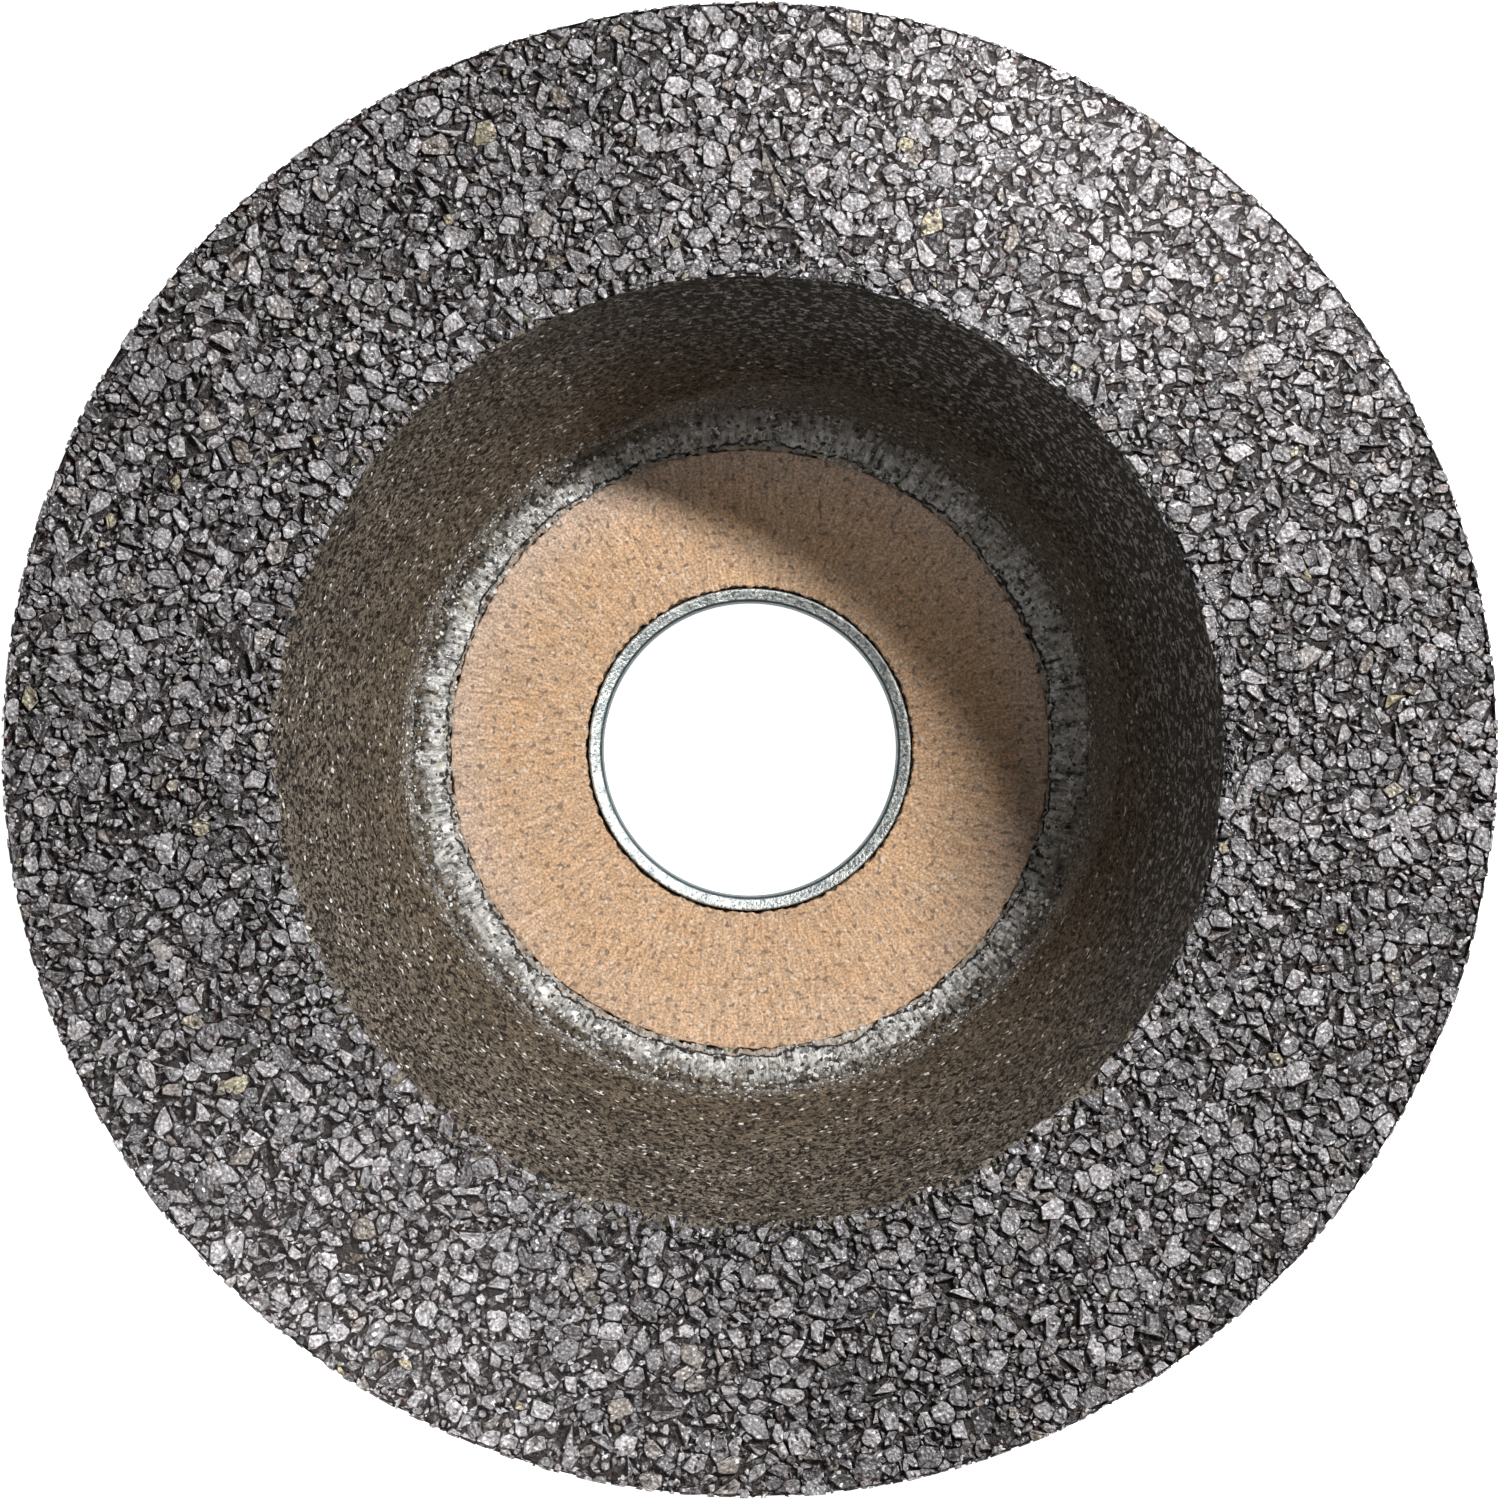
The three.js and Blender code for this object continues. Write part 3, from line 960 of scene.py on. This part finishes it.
def crumbs(name, rng, shapes, onto, wanted, look):
    # wanted(r, z) picks the faces that crumbs are set into
    sides = [s for s in onto.data.polygons if wanted(math.hypot(s.center.x, s.center.y), s.center.z)]
    picked = [sides[k] for k in rng.choice(len(sides), look["count"], replace=False)]
    spots = np.array([s.center for s in picked])
    facing = np.array([s.normal for s in picked])
    size = rng.uniform(*look["size"], len(spots))
    which = rng.integers(len(shapes), size=len(spots))
    turns = np.linalg.qr(rng.normal(size=(len(spots), 3, 3)))[0]
    turns[np.linalg.det(turns) < 0] *= -1
    spots = spots - facing * (size * look["sink"])[:, None]
    marks = grainMarks(rng, len(spots), look)
    marks[:, 3] = 1
    corners, faces, colours, first = [], [], [], 0
    for number, (shape, shapeFaces) in enumerate(shapes):
        mine = which == number
        placed = np.einsum("nij,mj->nmi", turns[mine], shape) * size[mine][:, None, None]
        corners.append((placed + spots[mine][:, None, :]).reshape(-1, 3))
        offsets = first + len(shape) * np.arange(mine.sum())
        faces.append((offsets[:, None, None] + shapeFaces[None]).reshape(-1, 3))
        colours.append(np.repeat(marks[mine], len(shapeFaces), axis=0))
        first += len(corners[-1])
    return meshOf(name, np.vstack(corners).tolist(), np.vstack(faces).tolist(), np.vstack(colours))


# ---- the floor of the cup: fillet ring, card blotter and arbor bush
collarSizes = {
    "segments": 900,
    "gap": 0.18 * mm,
    "seam": 0.08 * mm,  # between the card and the ring
    "lip": 0.12 * mm,  # the inner edge stands this far above the card
    "lift": 0.1 * mm,  # and its foot above the cup's floor
    "cove": 0.6 * mm,
    "covePoints": 26,
    "into": (0.3 * mm, 0.5 * mm),  # how far its foot and its top reach into the wall
    "ragged": [("CLOUDS", 1.6 * mm, 2.4 * mm, "Z", 3), ("CLOUDS", 0.45 * mm, 1.44 * mm, "Z", 0)],
    "lumps": ("CLOUDS", 0.55 * mm, 0.6 * mm, "NORMAL", 2),
    "innerWidth": 1.2 * mm,
    "innerRelief": [("CLOUDS", 0.8 * mm, 0.5 * mm), ("VORONOI", 1.5 * mm, 0.3 * mm)],
}


def makeCollar(material):
    edge = blotterRadius + collarSizes["seam"]
    floor = cupFloor + collarSizes["lift"]
    footIn, topIn = collarSizes["into"]
    lip = (edge, clampHeight + collarSizes["lip"])
    top = (inside(collarTop), collarTop)
    corner = inside(clampHeight) - collarSizes["cove"], clampHeight + collarSizes["cove"]
    cove = [
        tuple((1 - t) ** 2 * a + 2 * t * (1 - t) * b + t * t * c for a, b, c in zip(lip, corner, top))
        for t in np.linspace(0, 1, collarSizes["covePoints"])
    ]
    outline = stretch((edge, floor), lip, collarSizes["gap"]) + cove
    outline += [(top[0] + topIn, collarTop), (inside(cupFloor) + footIn, floor)]
    piece = spun("fillet_ring", outline, collarSizes["segments"])

    def upper(r, z):
        return max(0.0, (z - clampHeight) / (collarTop - clampHeight))

    def facing(r, z):
        return float(r < inside(z) - 0.02 * mm or z > collarTop - 0.5 * mm)

    def inner(r, z):
        return max(0.0, 1 - (r - edge) / collarSizes["innerWidth"])

    relief(piece, upper, *collarSizes["ragged"])
    relief(piece, facing, collarSizes["lumps"])
    relief(piece, inner, *collarSizes["innerRelief"])
    return finished(piece, material, "grey_fillet", "floor_collar")


collarCrumbs = {
    "seed": 21,
    "count": 2400,
    "size": (0.1 * mm, 0.3 * mm),
    "sink": 0.3,
    "tone": 0.5,
    "toneSpread": 0.45,
}
strayCrumbs = {  # thinning out on the wall above the fillet
    "count": 2000,
    "size": (0.08 * mm, 0.2 * mm),
    "above": 4 * mm,
    "sink": 0.3,
    "tone": 0.45,
    "toneSpread": 0.35,
}


def makeCollarCrumbs(material, shapes, collar, wall):
    rng = np.random.default_rng(collarCrumbs["seed"])

    def onCollar(r, z):
        return collarRadius - 0.2 * mm < r < inside(z) + 0.1 * mm and z > clampHeight - 0.3 * mm

    def onWall(r, z):
        height = (z - collarTop + 0.5 * mm) / strayCrumbs["above"]
        return r < inside(z) + 0.3 * mm and 0 < height < rng.uniform()

    piece = crumbs("fillet_crumbs", rng, shapes, collar, onCollar, collarCrumbs)
    finished(piece, material, "grey_fillet")
    piece = crumbs("stray_crumbs", rng, shapes, wall, onWall, strayCrumbs)
    finished(piece, material, "grey_fillet")


blotterSizes = {
    "segments": 720,
    "gap": 0.26 * mm,
    "edge": 0.12 * mm,
    "lift": 0.05 * mm,
    "cockle": [("CLOUDS", 4 * mm, 0.1 * mm, "Z", 2), ("CLOUDS", 0.5 * mm, 0.07 * mm, "Z", 2)],
    "rimWidth": 0.8 * mm,
    "rimRelief": ("CLOUDS", 0.6 * mm, 0.5 * mm),
    "holeWidth": 0.35 * mm,
    "holeRelief": ("CLOUDS", 0.5 * mm, 0.62 * mm),
}


def makeBlotter(material):
    low = cupFloor + blotterSizes["lift"]
    edge = blotterSizes["edge"]
    near, far = (blotterHole + edge, clampHeight), (blotterRadius - edge, clampHeight)
    outline = rounded(far[0], clampHeight - edge, edge, 0, 90, 3)
    outline += stretch(far, near, blotterSizes["gap"])[1:]
    outline += rounded(near[0], clampHeight - edge, edge, 90, 180, 3)
    outline += [(blotterHole, low), (blotterRadius, low)]
    piece = spun("card_blotter", outline, blotterSizes["segments"])

    def top(r, z):
        return float(z > clampHeight - 0.02 * mm)

    def rim(r, z):
        return max(0.0, (r - blotterRadius) / blotterSizes["rimWidth"] + 1)

    def hole(r, z):
        return max(0.0, 1 - (r - blotterHole) / blotterSizes["holeWidth"])

    relief(piece, top, *blotterSizes["cockle"])
    relief(piece, rim, blotterSizes["rimRelief"])
    relief(piece, hole, blotterSizes["holeRelief"])
    return finished(piece, material, "tan_card", "floor_blotter")


bushSizes = {
    "segments": 360,
    "bevel": 0.2 * mm,  # at the back end
    "edge": 0.12 * mm,  # round on the outside of the rim
    "flat": 0.14 * mm,  # where the rim starts to fall inwards
    "round": 0.3 * mm,  # round into the bore
    "dish": 0.16 * mm,
    "gap": 0.12 * mm,
    "rimDepth": 0.6 * mm,
    "rimRelief": ("CLOUDS", 0.6 * mm, 0.07 * mm),
}


def makeBush(material):
    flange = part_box("arbor_bush")[1].x
    low, high = [corner.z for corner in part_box("glass_cloth_back")]
    edge, turnIn, bevel = bushSizes["edge"], bushSizes["round"], bushSizes["bevel"]
    front = bushFront - bushSizes["dish"]
    outline = [(boreRadius, bushBack + bevel), (boreRadius + bevel, bushBack), (bushRadius, bushBack)]
    outline += [(bushRadius, low), (flange, low), (flange, high), (bushRadius, high)]
    outline += stretch((bushRadius, clampHeight - 1 * mm), (bushRadius, bushFront - edge), 0.2 * mm)
    outline += rounded(bushRadius - edge, bushFront - edge, edge, 0, 90, 4)
    flat = (bushRadius - bushSizes["flat"], bushFront)
    outline += stretch(flat, (boreRadius + turnIn, front), bushSizes["gap"])[1:]
    outline += rounded(boreRadius + turnIn, front - turnIn, turnIn, 90, 180, 6)
    throat = (boreRadius, front - turnIn - 0.2 * mm)
    outline += stretch(throat, (boreRadius, clampHeight - 3 * mm), 0.5 * mm)
    piece = spun("zinc_bush", outline, bushSizes["segments"])

    def rim(r, z):
        return float(z > clampHeight - bushSizes["rimDepth"])

    relief(piece, rim, bushSizes["rimRelief"])
    return finished(piece, material, "zinc_steel", "arbor_bush")


# ---- the base and its steel back
bandSizes = {
    "fit": 0.1 * mm,
    "gap": 0.4 * mm,
    "relief": [("CLOUDS", 0.5 * mm, 0.2 * mm), ("VORONOI", 0.9 * mm, 0.12 * mm)],
}


def makeBaseBand(material):
    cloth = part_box("glass_cloth_front")
    recess = cloth[1].x + bandSizes["fit"]
    top = (outside(baseTop), baseTop)
    outline = stretch((outside(layerSplit), layerSplit), top, bandSizes["gap"])
    outline += [top, (recess, baseTop), (recess, cloth[0].z)]
    outline += [(holeRadius, cloth[0].z), (holeRadius, layerSplit)]
    piece = spun("base_band", outline, cupSizes["segments"])

    def side(r, z):
        return float(r > outside(z) - 0.1 * mm and layerSplit < z < baseTop)

    relief(piece, side, *bandSizes["relief"])
    return finished(piece, material, "base_mix", "base_layer_front")


backSizes = {
    "segments": 360,
    "skirtCorner": 1.4 * mm,  # height at which the skirt begins
    "soft": 0.15 * mm,
    "labelSoft": 0.06 * mm,
}


def makeSteelBack(material):
    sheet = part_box("glass_cloth_back")[0].z
    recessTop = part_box("back_label")[1].z
    hole, seat, recess, bend = ringSteps("steel_back_cap", 0)
    skirtIn, skirtOut = ringSteps("steel_back_cap", skirtTop)
    corner = outside(backSizes["skirtCorner"]) - bend
    soft = backSizes["soft"]
    outline = [(hole, soft), (hole + soft, 0), (seat - soft, 0), (seat, soft), (seat + soft, recessTop)]
    outline += [(recess - soft, recessTop), (recess, soft), (recess + soft, 0)]
    outline += rounded(bend, corner, corner, -90, 0, 10)
    outline += [(skirtOut - 0.01 * mm, skirtTop - soft), (skirtOut - soft, skirtTop)]
    outline += [(skirtIn + soft, skirtTop), (skirtIn, skirtTop - soft)]
    outline += [(outside(sheet) - (skirtOut - skirtIn), sheet), (hole, sheet)]
    piece = spun("steel_back", outline, backSizes["segments"], smooth=50)
    return finished(piece, material, "back_steel", "steel_back_cap")


def makeLabel(material):
    low, high = [corner.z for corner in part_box("back_label")]
    inner, outer = ringSteps("back_label", low)
    soft = backSizes["labelSoft"]
    outline = [(inner, low + soft), (inner + soft, low), (outer - soft, low), (outer, low + soft)]
    outline += [(outer, high), (inner, high)]
    piece = spun("label_ring", outline, backSizes["segments"])
    return finished(piece, material, "label_paper", "back_label")


# ---- build it all
grainLooks = {  # darkest and lightest tone, and index of refraction
    "crushedGrain": ((0.058, 0.054, 0.057), (0.475, 0.45, 0.462), 2.0),
    "mouldedGrain": ((0.035, 0.033, 0.033), (0.19, 0.182, 0.18), 1.7),
    "filletGrain": ((0.025, 0.025, 0.025), (0.78, 0.78, 0.75), 1.8),
}
crushedGrain, mouldedGrain, filletGrain = [grainFinish(name, *look) for name, look in grainLooks.items()]

makeCupBody(resinBedFinish())
wall = makeWallSkin(wallSkinFinish())
faceKinds = {"coarse": coarseGrains, "fine": fineGrains}
faceBand = (mouthRadius, faceHeight), (faceRadius - 0.02 * mm, faceHeight)
makeGrains("face", *faceBand, faceGrains, faceKinds, crushedGrain)
sideTop = faceHeight - 0.8 * mm
sideBand = (outside(sideTop), sideTop), (footRadius, baseTop)
makeGrains("side", *sideBand, sideGrains, {"moulded": mouldedGrains}, mouldedGrain)
fillet = makeCollar(collarGritFinish())
makeCollarCrumbs(filletGrain, makeCrumbShapes(), fillet, wall)
makeBlotter(tanCardFinish())
makeBush(zincRimFinish())
baseMix = baseMixFinish()
makeBaseBand(baseMix)
makeSteelBack(backSteelFinish())
makeLabel(labelPrintFinish(*ringSteps("back_label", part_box("back_label")[0].z)))

# the nodes inside stay as they are and get a finish
cloth = glassClothFinish()
for name, finish in {
    "glass_cloth_back": cloth,
    "glass_cloth_middle": cloth,
    "glass_cloth_front": cloth,
    "base_layer_back": baseMix,
}.items():
    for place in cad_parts[name].material_slots:
        place.material = finish
print("pieces finished")

# ---- floor, light and camera
studio = {
    "floorSize": 6,
    "floorGlow": 1.0,
    "sky": 0.12,
    "camera": 1.4,  # metres above the grinding face
    "frameWidth": 110.1 * mm,
    "sensor": 36,
}
# Angles are in degrees. aside and above are metres from the middle of the grinding face.
fill = {"aside": 0.072, "above": 0.06, "size": (0.05, 0.05), "turn": 0, "beam": 60}
key = {"aside": 0.379, "above": 0.5, "size": (0.17, 0.04), "turn": -15, "beam": 180}
lamps = {
    "keyLight": {**key, "azimuth": 40, "watts": 5.9},
    "topLight": {**fill, "azimuth": 60, "watts": 0.016},
    "bottomLight": {**fill, "azimuth": 235, "watts": 0.01},
}

for name, lamp in lamps.items():
    data = bpy.data.lights.new(name, "AREA")
    data.shape = "RECTANGLE"
    data.size, data.size_y = lamp["size"]
    data.spread = math.radians(lamp["beam"])
    data.energy = lamp["watts"]
    light = bpy.data.objects.new(name, data)
    way, aside = math.radians(lamp["azimuth"]), lamp["aside"]
    light.location = (aside * math.cos(way), aside * math.sin(way), faceHeight + lamp["above"])
    light.rotation_euler = (0, 0, math.radians(lamp["turn"]))
    light.visible_camera = False
    bpy.context.scene.collection.objects.link(light)

sky = bpy.data.worlds.new("studio")
sky.use_nodes = True
glow = sky.node_tree.nodes["Background"].inputs
glow["Color"].default_value = (1, 1, 1, 1)
glow["Strength"].default_value = studio["sky"]
bpy.context.scene.world = sky

bpy.ops.object.select_all(action="DESELECT")
bpy.ops.mesh.primitive_plane_add(size=studio["floorSize"])
floor = bpy.context.object
floor.name = "floor"
paleFloor = Finish("paleFloor", {"Base Color": (0.8, 0.8, 0.8), "Roughness": 0.9})
paleFloor.feed("Emission Color", (1.0, 1.0, 1.0))
paleFloor.feed("Emission Strength", studio["floorGlow"])
floor.data.materials.append(paleFloor.material)

cameraData = bpy.data.cameras.new("camera")
cameraData.sensor_width = studio["sensor"]
cameraData.lens = cameraData.sensor_width * studio["camera"] / studio["frameWidth"]
camera = bpy.data.objects.new("camera", cameraData)
camera.location = (0, 0, faceHeight + studio["camera"])
bpy.context.scene.collection.objects.link(camera)
bpy.context.scene.camera = camera
bpy.context.scene.view_settings.view_transform = "Standard"

print("scene finished")
